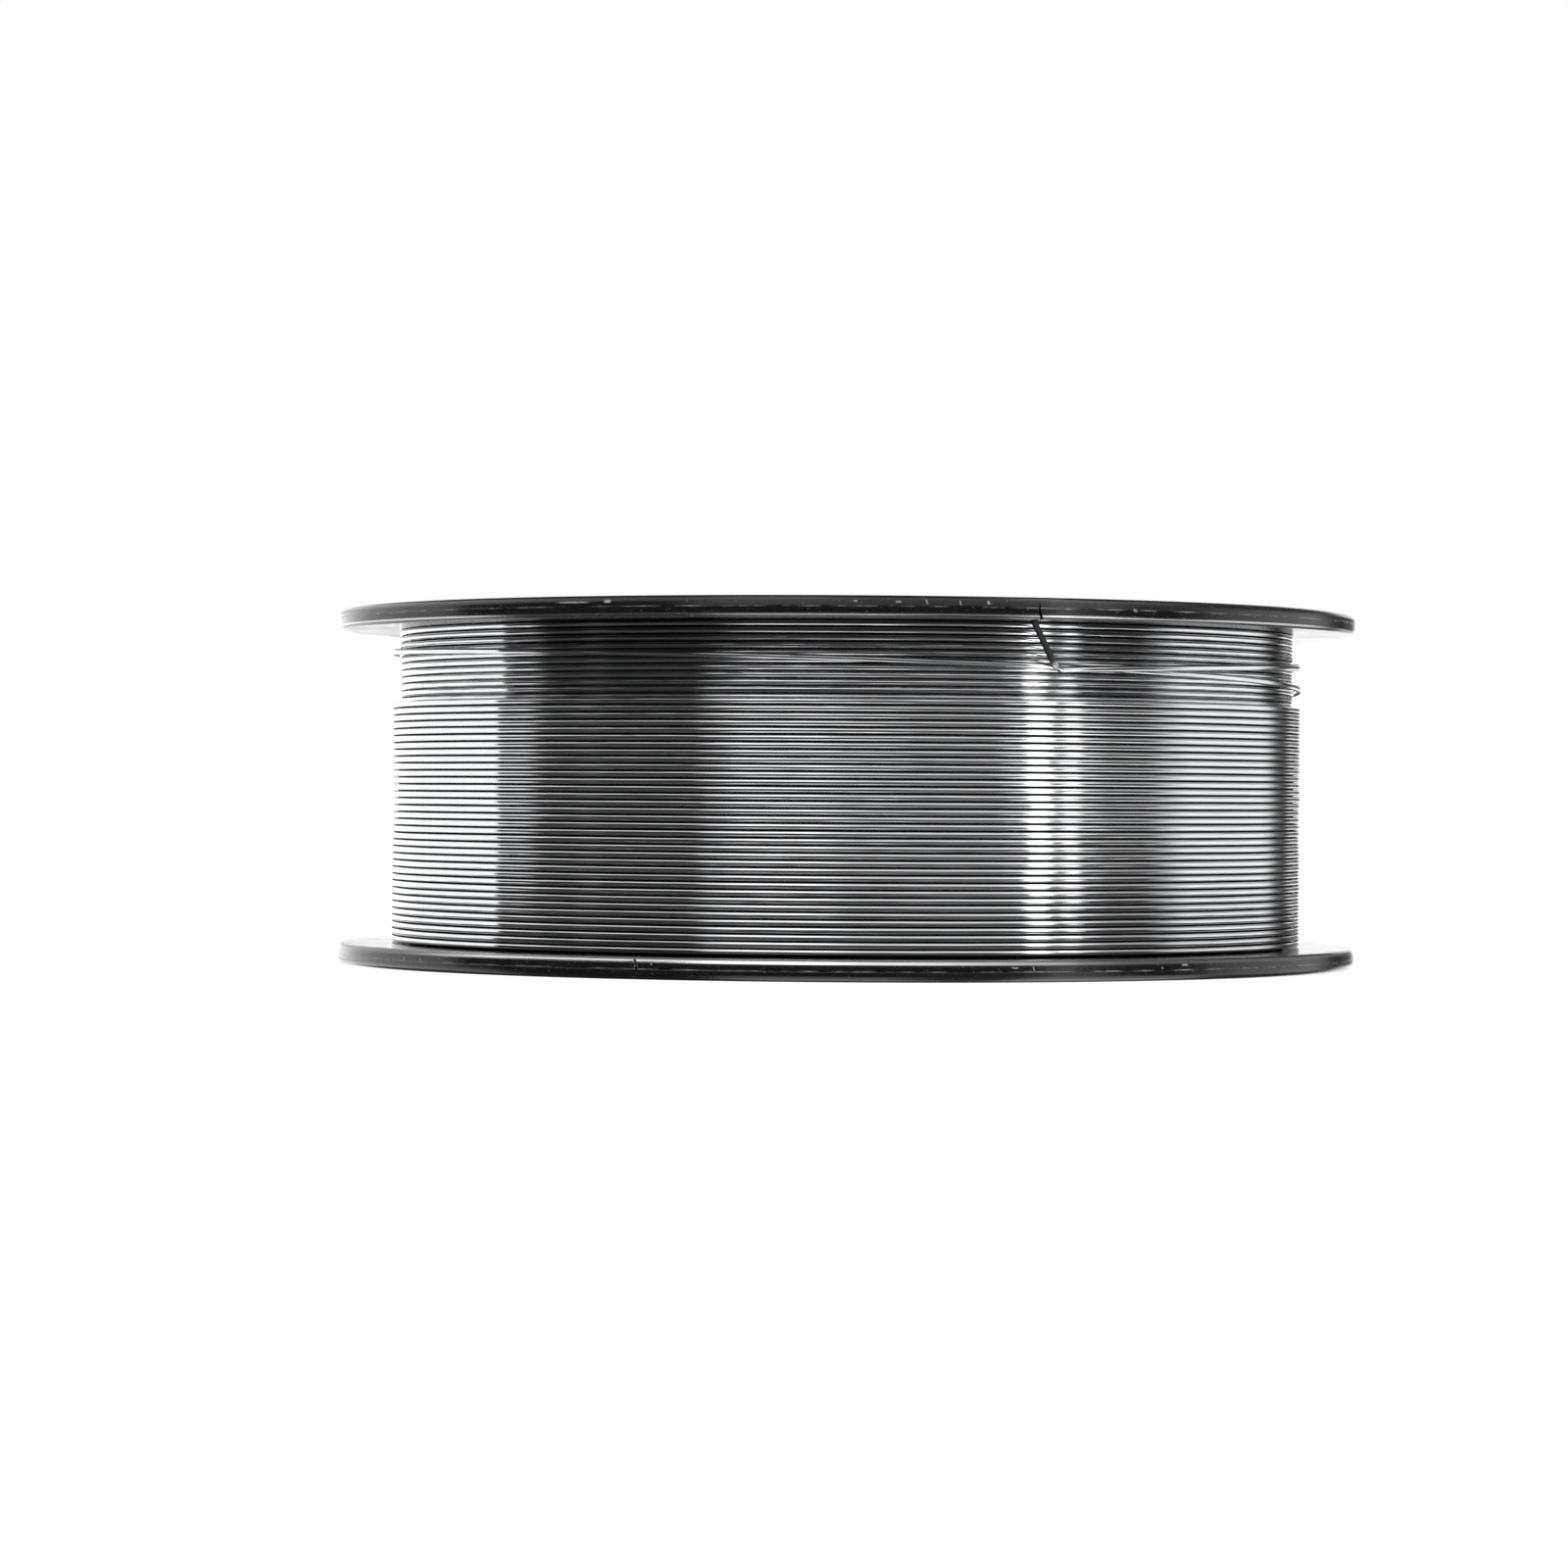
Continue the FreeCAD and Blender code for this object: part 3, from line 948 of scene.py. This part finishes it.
@dataclass
class WindingDrum:
    """Tube between the flanges, with snap windows and inner keys."""

    sizes: ReelSizes
    steps: int = 192
    edge: float = 0.12
    key_width: float = 2.0
    play: float = 0.3
    reach: float = 0.4

    def build(self) -> None:
        """Make the drum."""
        s = self.sizes
        plastic = BlackPlastic("drum_black", shade=(0.016, 0.016, 0.017), gloss=(0.3, 0.45))
        finish = plastic.material()
        low, high = s.rim, s.width - s.rim
        inner, outer, edge = s.drum_inner, s.drum_radius, self.edge
        outline = [(inner + edge, low), (outer - edge, low), (outer, low + edge)]
        outline += [(outer, high - edge), (outer - edge, high), (inner + edge, high)]
        outline += [(inner, high - edge), (inner, low + edge)]
        tongue_angle = s.rib_pitch / 2
        foot = s.rim + s.key_start + self.play
        wall = (s.spigot_inner + self.play, inner + PASS)
        key = radial_box("key", *wall, self.key_width, foot, s.width - foot)
        keys = ring_of(key, s.tongue_count, tongue_angle + s.rib_pitch, finish)
        steps = [("UNION", keys)]
        foot = s.barb_base - self.play
        tall = s.barb_length + 2 * self.play
        wall = (inner - self.reach, outer + self.reach)
        for low in (foot, s.width - foot - tall):
            window = radial_box("window", *wall, s.tongue_width, low, low + tall)
            windows = ring_of(window, s.tongue_count, tongue_angle, finish)
            steps.append(("DIFFERENCE", windows))
        mesh = cut_or_fuse(lathe("tube", outline, self.steps), steps)
        turn = Matrix.Rotation(math.radians(s.hub_angle - s.rib_pitch), 4, "Z")
        mesh.transform(Matrix.Scale(MM, 4) @ turn)
        finished("winding_drum_moulding", mesh, finish, ["winding_drum"])


@dataclass(frozen=True)
class Lay:
    """How one layer's wire is laid, as angles along the wire and heights.

    Each turn lies level and steps up or down by the pitch in a short jog behind the
    reel. After the layer's end the wire climbs to its top and falls again.
    """

    radius: float
    turns: int
    start_height: float
    pitch: float
    end_angle: float
    layer_end_angle: float = -150.0
    jog_angle: float = 70.0
    jog_end: float = -55.0
    climb_end_angle: float = 225.0
    bend_angle: float = 425.0
    top_height: float = 0.0
    fall_height: float = 0.0
    sway: float = 0.012
    wave: float = 0.15
    bulge: float = 0.08

    @property
    def start_angle(self) -> float:
        """Angle at which the layer's first turn begins."""
        return self.jog_end - 360.0 * self.turns

    @property
    def layer_end_height(self) -> float:
        """Height of the layer's last turn."""
        return self.start_height + self.pitch * (self.turns - 1)

    def height(self, angle: float) -> float:
        """Height past the layer's end, without its sway.

        Args:
            angle: angle along the wire.

        Returns:
            The height of its middle line.
        """
        start, end = self.layer_end_angle, self.climb_end_angle
        up = min(max((angle - start) / (end - start), 0.0), 1.0)
        level = self.layer_end_height
        level += (self.top_height - level) * up * up * (3 - 2 * up)
        down = max(angle - end, 0.0) / (self.bend_angle - end)
        return level - self.fall_height * down**2


class WireTree(GeometryTree):
    """Tree that draws round wire along a path and keeps where each point lies on it."""

    def __init__(self, name: str, wire_radius: float, sides: int) -> None:
        """Start the tree.

        Args:
            name: the tree's name.
            wire_radius: radius of the wire, in mm.
            sides: sides of its section.
        """
        super().__init__(name)
        self.wire_radius = self.given("Wire Radius", wire_radius * MM)
        self.sides = self.given("Sides", sides)

    def tube(self, line: Value, upright: bool) -> Value:
        """Wire along a line of points.

        Args:
            line: the line, as a mesh of edges.
            upright: whether the section keeps one side up.

        Returns:
            The wire, with "along" in metres and "rise" from -1 to 1 on its points.
        """
        curve = self.node("GeometryNodeMeshToCurve", {}, {"Mesh": line})
        if upright:
            curve = self.node("GeometryNodeSetCurveNormal", {"mode": "Z_UP"}, {"Curve": curve})
        length = self.node("GeometryNodeSplineParameter", output="Length")
        curve = self.store(curve, "along", length)
        level = self.node("GeometryNodeInputPosition").split()[2]
        curve = self.store(curve, "level", level)
        inputs = {"Resolution": self.sides, "Radius": self.wire_radius}
        section = self.node("GeometryNodeCurvePrimitiveCircle", {}, inputs)
        inputs = {"Curve": curve, "Profile Curve": section, "Fill Caps": True}
        wire = self.node("GeometryNodeCurveToMesh", {}, inputs)
        middle = self.node("GeometryNodeInputNamedAttribute", {}, {"Name": "level"})
        height = self.node("GeometryNodeInputPosition").split()[2]
        wire = self.store(wire, "rise", (height - middle) / self.wire_radius)
        return self.node("GeometryNodeRemoveAttribute", {}, {"Geometry": wire, "Name": "level"})


@dataclass
class WoundLayer:
    """One layer of close turns, wound by a node tree to the rule of its lay.

    Drift and ripple are noises along the wire; their rates are per degree, per seed and
    an offset. The bulge is shared by neighbouring turns; its rates are round the reel,
    upwards and aslant.
    """

    name: str
    lay: Lay
    nodes: tuple[str, ...]
    sizes: ReelSizes
    step_angle: float = 2.25
    sides: int = 10
    seed: int = 3
    drift_rates: tuple[float, float, float] = (0.011, 7.3, 0.0)
    ripple_rates: tuple[float, float, float] = (0.045, 3.1, 5.0)
    bulge_rates: tuple[float, float, float] = (3.2, 420.0, 5.5)

    def build(self, finish: Material) -> None:
        """Make the layer.

        Args:
            finish: the wire's material.
        """
        lay = self.lay
        tree = WireTree(self.name + "_winding", self.sizes.wire_radius, self.sides)
        count = round((lay.end_angle - lay.start_angle) / self.step_angle) + 1
        lengths = ("radius", "start_height", "pitch", "layer_end_height", "top_height")
        lengths += ("fall_height", "sway", "wave", "bulge")
        angles = ("start_angle", "end_angle", "jog_angle", "layer_end_angle")
        angles += ("climb_end_angle", "bend_angle")
        radius, foot, pitch, head, top, fall, sway, wave, bulge = (
            tree.given(name, getattr(lay, name) * MM) for name in lengths
        )
        start, end, jog, layer_end, climb_end, bend = (
            tree.given(name, getattr(lay, name)) for name in angles
        )
        points = tree.given("points", count)
        seed = tree.given("seed", self.seed)
        line = tree.node("GeometryNodeMeshLine", {"mode": "OFFSET"}, {"Count": points})
        index = tree.node("GeometryNodeInputIndex")
        angle = start + index * ((end - start) / (points - 1))
        turned = (angle.math("MINIMUM", layer_end) - start + jog) / 360.0
        stepped = turned.math("FRACT").step(0.0, jog / 360.0)
        level = foot + pitch * (turned.math("FLOOR") + stepped - 1.0)
        level = level + (top - head) * angle.step(layer_end, climb_end)
        down = (angle - climb_end).at_least(0.0) / (bend - climb_end)
        turn = angle * math.radians(1)
        across, back = turn.math("COSINE"), turn.math("SINE")
        places = [
            tree.vector(angle * rate, seed * share, offset)
            for rate, share, offset in (self.drift_rates, self.ripple_rates)
        ]
        ring, up, slant = self.bulge_rates
        slanted = level * up + across * slant + seed
        places.append(tree.vector(across * ring, back * ring, slanted))
        drift, ripple, shared = (
            tree.noise(place, scale=1.0, detail=1.0) - 0.5 for place in places
        )
        height = level - fall * down * down + drift * sway * 2.0
        out = radius + shared * bulge + ripple * wave
        place = tree.vector(across * out, back * out * -1.0, height)
        line = tree.node("GeometryNodeSetPosition", {}, {"Geometry": line, "Position": place})
        mesh = tree.run(tree.tube(line, upright=True), finish)
        finished(self.name, mesh, finish, self.nodes, sharp=60.0)


def rounded(corners: Sequence[Vector], radii: Sequence[float], steps: int = 10) -> list[Vector]:
    """Corner points with each inner corner replaced by an arc.

    Args:
        corners: the corners, first and last included.
        radii: radius of each inner corner.
        steps: steps of each arc.

    Returns:
        Points along the rounded line.
    """
    points = [corners[0]]
    for before, corner, after, radius in zip(corners, corners[1:], corners[2:], radii):
        way_in = (corner - before).normalized()
        way_out = (after - corner).normalized()
        turn = way_in.angle(way_out)
        reach = radius * math.tan(turn / 2)
        inwards = (way_out - way_in).normalized()
        centre = corner + inwards * math.hypot(radius, reach)
        spoke = corner - way_in * reach - centre
        axis = spoke.cross(way_in)
        for step in range(steps + 1):
            points.append(centre + Matrix.Rotation(turn * step / steps, 3, axis) @ spoke)
    return points + [corners[-1]]


@dataclass
class WirePack:
    """All the wire: buried layers, the one in sight at the top, the outermost, both ends."""

    sizes: ReelSizes
    inner_radius: float = 43.72
    buried_radius: float = 43.2
    buried_gaps: Pair = (0.12, 0.02)
    ridge_shares: tuple[float, ...] = (0.0, 0.2, 0.5, 0.8)
    ridge_depth: float = 0.24
    buried_steps: int = 160
    pitch: float = 0.667
    first_height: float = 2.47
    outer_turns: int = 35
    inner_turns: int = 45
    top_gap: float = 1.9
    fall_height: float = 2.45
    cross_lift: float = 0.65
    cross_start: float = 378.0
    cross_angle: float = 31.5
    bend_place: float = 25.0
    bend_lead: float = 2.6
    bend_radii: tuple[float, ...] = (1.3, 0.8, 0.7)
    lead_steps: int = 24
    arc_steps: int = 10
    sides: int = 16
    tip_length: float = 3.0
    tip_wall: float = 0.18
    tip_sink: float = 1.0
    lying_gap: float = 0.02
    tail_out: float = 3.8
    tail_length: float = 6.0
    tail_radii: tuple[float, ...] = (0.7, 2.0)
    # Fades of the painted shade below the outer layer's top and past the hook's bend
    covered_fade: float = 0.3
    end_shade_fade: Pair = (-0.2, 0.4)

    @property
    def lying_height(self) -> float:
        """Height of wire that lies in the upper flange's recess."""
        s = self.sizes
        return s.width - s.recess + s.wire_radius + self.lying_gap

    def outer_lay(self) -> Lay:
        """Lay of the outermost layer and its climbing last turn.

        Returns:
            The lay.
        """
        s = self.sizes
        lay = Lay(s.layer_radius, self.outer_turns, self.first_height, self.pitch, 360.0)
        top = s.width - s.rim - self.top_gap
        return replace(lay, top_height=top, fall_height=self.fall_height)

    def inner_lay(self) -> Lay:
        """Lay of the layer under it, wound the other way up.

        Returns:
            The lay.
        """
        s = self.sizes
        high = s.width - s.rim - s.wire_radius
        lay = Lay(self.inner_radius, self.inner_turns, high, -self.pitch, -150.0)
        return replace(lay, top_height=lay.layer_end_height)

    def buried(self, finish: Material) -> None:
        """Make the layers further in, as one ring with a ridge for each turn.

        Args:
            finish: the wire's material.
        """
        s = self.sizes
        gap, play = self.buried_gaps
        low = s.rim + play
        turns = round((s.width - 2 * s.rim) / self.pitch)
        pitch = (s.width - 2 * low) / turns
        outline = [(s.drum_radius + gap, s.width - low), (s.drum_radius + gap, low)]
        for turn in range(turns):
            for share in self.ridge_shares:
                dip = self.ridge_depth * (2 * share - 1) ** 2
                outline.append((self.buried_radius - dip, low + pitch * (turn + share)))
        outline.append((self.buried_radius - self.ridge_depth, s.width - low))
        mesh = lathe("buried", outline, self.buried_steps)
        blank = [0.0] * len(mesh.vertices)
        for name in ("along", "rise"):
            mesh.attributes.new(name, "FLOAT", "POINT").data.foreach_set("value", blank)
        mesh.transform(Matrix.Scale(MM, 4))
        finished("buried_layers", mesh, finish, ["wire_core_layers"], sharp=75.0)

    def end_points(self, lay: Lay) -> list[Vector]:
        """Way of the outer end: over the last turn, up to the flange, through it and down.

        Args:
            lay: lay of the outermost layer.

        Returns:
            Points along its middle line.
        """
        s = self.sizes
        last = lay.bend_angle - self.bend_lead
        points = []
        for step in range(self.lead_steps + 1):
            angle = 360.0 + (last - 360.0) * step / self.lead_steps
            lift = min(max((angle - self.cross_start) / self.cross_angle, 0.0), 1.0)
            radius = lay.radius + self.cross_lift * lift * lift * (3 - 2 * lift)
            points.append(on_circle(radius, 90.0 - angle, lay.height(angle)))
        bend_radius = lay.radius + self.cross_lift
        corner = on_circle(bend_radius, self.bend_place, lay.height(lay.bend_angle))
        entry, over = (
            on_circle(s.catch_radius, s.catch_angle, height)
            for height in (s.width - s.rim, self.lying_height)
        )
        tip = on_circle(s.catch_radius - self.tip_length, s.catch_angle, self.lying_height)
        corners = [points[-1], corner, entry, over, tip]
        return points[:-1] + rounded(corners, self.bend_radii, self.arc_steps)

    def bent_length(self, points: Sequence[Vector]) -> float:
        """How far along the outer end its first bend is done.

        Args:
            points: its middle line.

        Returns:
            The length up to there, in mm.
        """
        arc_end = self.lead_steps + self.arc_steps + 1
        pairs = zip(points[:arc_end], points[1 : arc_end + 1])
        return sum((there - here).length for here, there in pairs)

    def bent(self, name: str, points: Sequence[Vector], finish: Material) -> Mesh:
        """Single wire along a line.

        Args:
            name: the mesh's name.
            points: its middle line, in mm.
            finish: its material.

        Returns:
            The wire, in metres.
        """
        tree = WireTree(name + "_bend", self.sizes.wire_radius, self.sides)
        line = bpy.data.meshes.new(name + "_line")
        edges = [(low, low + 1) for low in range(len(points) - 1)]
        line.from_pydata([point * MM for point in points], edges, [])
        return tree.run(tree.tube(tree.start, upright=False), finish, line)

    def hollow_tip(self, mesh: Mesh, tip: Vector, inwards: Vector) -> None:
        """Sink the flux bore into the wire's cut end.

        Args:
            mesh: the wire's mesh, in metres.
            tip: middle of its cut end, in mm.
            inwards: direction into the wire.
        """
        shape = bmesh.new()
        shape.from_mesh(mesh)
        shape.faces.ensure_lookup_table()
        cap = min(
            (face for face in shape.faces if len(face.verts) > 4),
            key=lambda face: (face.calc_center_median() - tip * MM).length,
        )
        bmesh.ops.inset_region(shape, faces=[cap], thickness=self.tip_wall * MM)
        sunk = bmesh.ops.extrude_discrete_faces(shape, faces=[cap])["faces"][0]
        bmesh.ops.translate(shape, verts=sunk.verts, vec=inwards * self.tip_sink * MM)
        shape.to_mesh(mesh)
        shape.free()

    def outer_end(self, outer: Lay) -> None:
        """Make the wire's outer end, hooked in the upper flange's slit.

        Args:
            outer: lay of the outermost layer.
        """
        points = self.end_points(outer)
        bent = self.bent_length(points)
        # Painted shade darkens the hook's end past its first bend
        dark = tuple(bent + end for end in self.end_shade_fade)
        shaded_end = BrightSolder("end_shaded_solder", painted_shade=(0.1, 0.1, 0.1), end_shade_along=dark)
        finish = shaded_end.material()
        mesh = self.bent("wire_end", points, finish)
        self.hollow_tip(mesh, points[-1], (points[-2] - points[-1]).normalized())
        finished("wire_end", mesh, finish, ["wire_end_hook"], sharp=60.0)

    def inner_end(self, finish: Material) -> None:
        """Make the wire's inner end, laid in the upper flange's recess.

        Args:
            finish: the wire's material.
        """
        s = self.sizes
        angle = s.hub_angle - s.start_angle
        foot = on_circle(s.start_radius, angle, s.width - s.rim)
        over = on_circle(s.start_radius, angle, self.lying_height)
        corner = on_circle(s.start_radius + self.tail_out, angle, self.lying_height)
        corners = [foot, over, corner, corner + on_circle(self.tail_length, angle + 90)]
        points = rounded(corners, self.tail_radii, self.arc_steps)
        mesh = self.bent("wire_start", points, finish)
        finished("wire_start", mesh, finish, ["wire_start_tail"], sharp=60.0)

    def build(self) -> None:
        """Make every piece of wire."""
        s = self.sizes
        solder = BrightSolder("bright_solder").material()
        outer = self.outer_lay()
        top = outer.layer_end_height
        # Painted shade darkens the covered layers below the outer layer's top
        dark = (top + self.covered_fade, top - self.covered_fade)
        covered = BrightSolder("covered_solder", shade_below_fade=dark).material()
        self.buried(covered)
        WoundLayer("inner_layer", self.inner_lay(), (), s, sides=8, seed=8).build(covered)
        WoundLayer("outer_layer", outer, ("wire_outer_turns",), s).build(solder)
        self.outer_end(outer)
        self.inner_end(solder)


@dataclass(frozen=True)
class Card:
    """A lit or dark field of the studio, seen in reflections.

    Its angles are double those by which an upright mirror that faces the camera is
    turned and tilted to show it.
    """

    azimuth: Pair
    elevation: Pair
    level: float
    soft: Pair


@dataclass
class Studio:
    """White room with soft overhead light, a pale floor and the camera."""

    base: float = 0.035
    cards: tuple[Card, ...] = (
        Card((-181, 181), (-130, -24), 0.07, (6, 30)),
        Card((-181, 181), (48, 112), 0.95, (6, 26)),
        Card((-100, -81), (40, 110), 1.2, (10, 24)),
        Card((-100, -85), (-110, -30), 1.0, (8, 24)),
        Card((-35.5, 46), (18, 88), 0.9, (6, 26)),
        Card((-31, -2), (24, 120), 1.55, (14, 26)),
        Card((-28, 22), (-130, -60), 1.9, (12, 36)),
        Card((14, 46), (-120, -20), 0.22, (12, 24)),
        Card((-69, -63), (-20, 20), 0.1, (4, 20)),
        Card((40, 67), (20, 80), 1.1, (6, 26)),
        Card((41, 68), (-130, -54), 2.0, (6, 34)),
        Card((66, 91), (-130, -56), 1.5, (8, 40)),
        Card((66, 91), (20, 80), 0.5, (8, 26)),
        Card((84, 154), (60, 130), 0.1, (10, 24)),
        Card((87, 134.5), (-76, 40), 1.15, (18, 40)),
        Card((136, 154), (18, 130), 0.12, (8, 30)),
        Card((136, 154), (-130, -24), 0.14, (8, 30)),
        Card((46, 51.4), (-130, 130), 2.9, (2.5, 1)),
        Card((55.4, 59.4), (-130, 130), 2.1, (2, 1)),
        Card((51, 60.5), (-16, 16), 0.45, (2, 12)),
        Card((-181, -96.3), (-96, 96), 1.25, (2, 24)),
        Card((-190, -144), (-34, 34), 1.9, (24, 16)),
        Card((149, 181), (-70, 70), 0.16, (4, 30)),
        Card((149, 181), (-130, -38), 1.2, (6, 30)),
        Card((149, 181), (50, 130), 1.3, (6, 24)),
        Card((165, 190), (-130, 130), 1.4, (12, 1)),
        Card((168, 190), (-30, 30), 2.4, (6, 20)),
        Card((-190, -166), (-30, 30), 3.0, (6, 20)),
    )
    floor_span: float = 8.0
    floor_shade: float = 0.5
    floor_glow: float = 0.8
    image_size: float = 1600.0
    focal_length: float = 5101.0
    axis_place: Pair = (862.8, 806.7)
    distance: float = 493.9
    eye_height: float = 17.05
    roll: float = 0.0065
    sensor: float = 36.0
    nearest: float = 0.02

    def light(self) -> None:
        """Build the room's light."""
        world = bpy.data.worlds.new("studio_room")
        bpy.context.scene.world = world
        world.use_nodes = True
        world.node_tree.nodes.clear()
        tree = NodeTree(world.node_tree)
        x, y, z = tree.node("ShaderNodeTexCoord", output="Generated").split()
        ahead = 1.0 - y
        azimuth = x.math("ARCTAN2", ahead) * math.degrees(2)
        elevation = z.math("ARCTAN2", (x * x + ahead * ahead) ** 0.5) * math.degrees(2)
        level: Value | float = self.base
        for card in self.cards:
            across, upwards = card.soft
            mask = azimuth.within(card.azimuth, across) * elevation.within(card.elevation, upwards)
            level = level + mask * (card.level - level)
        seen = tree.node("ShaderNodeLightPath", output="Is Camera Ray")
        level = level + seen * (1.0 - level)
        inputs = {"Color": (1.0, 1.0, 1.0, 1.0), "Strength": level}
        sky = tree.node("ShaderNodeBackground", {}, inputs)
        tree.node("ShaderNodeOutputWorld", {}, {"Surface": sky})

    def floor(self) -> None:
        """Lay the pale floor, which keeps the reel's shadow."""
        half = self.floor_span / 2
        mesh = bpy.data.meshes.new("floor")
        corners = [(-half, -half, 0), (half, -half, 0), (half, half, 0), (-half, half, 0)]
        mesh.from_pydata(corners, [], [(0, 1, 2, 3)])
        tree = ShaderTree("pale_floor")
        shade = tree.node("ShaderNodeBsdfDiffuse", {}, {"Color": (*[self.floor_shade] * 3, 1.0)})
        seen = tree.node("ShaderNodeLightPath", output="Is Camera Ray")
        glow = tree.node("ShaderNodeEmission", {}, {"Strength": seen * self.floor_glow})
        both = tree.node("ShaderNodeAddShader", {}, [shade, glow])
        tree.node("ShaderNodeOutputMaterial", {}, {"Surface": both})
        mesh.materials.append(tree.material)
        floor = linked("floor", mesh)
        floor.visible_glossy = False

    def camera(self) -> None:
        """Set up the camera where the photograph was taken from."""
        across, down = (
            math.atan2(place - self.image_size / 2, self.focal_length) for place in self.axis_place
        )
        data = bpy.data.cameras.new("camera")
        data.sensor_width = self.sensor
        data.lens = self.sensor * self.focal_length / self.image_size
        data.clip_start = self.nearest
        camera = linked("camera", data)
        place = Matrix.Translation(Vector((0, -self.distance, self.eye_height)) * MM)
        for axis, turn in (("Z", across), ("X", math.pi / 2 + down), ("Z", self.roll)):
            place = place @ Matrix.Rotation(turn, 4, axis)
        camera.matrix_world = place
        bpy.context.scene.camera = camera

    def build(self) -> None:
        """Make the whole studio."""
        self.light()
        self.floor()
        self.camera()
        bpy.context.scene.view_settings.view_transform = "Standard"


def dress_flux() -> None:
    """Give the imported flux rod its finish."""
    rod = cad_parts["flux_core"]
    rod.data.materials.clear()
    rod.data.materials.append(AmberRosin("amber_rosin").material())
    log.info("flux_core: packed rod, amber rosin")


def main() -> None:
    """Build the reel and its studio."""
    logging.basicConfig(level=logging.INFO, format="%(name)s %(message)s")
    sizes = ReelSizes()
    Flanges(sizes).build()
    WindingDrum(sizes).build()
    WirePack(sizes).build()
    dress_flux()
    Studio().build()


if __name__ == "__main__":
    main()
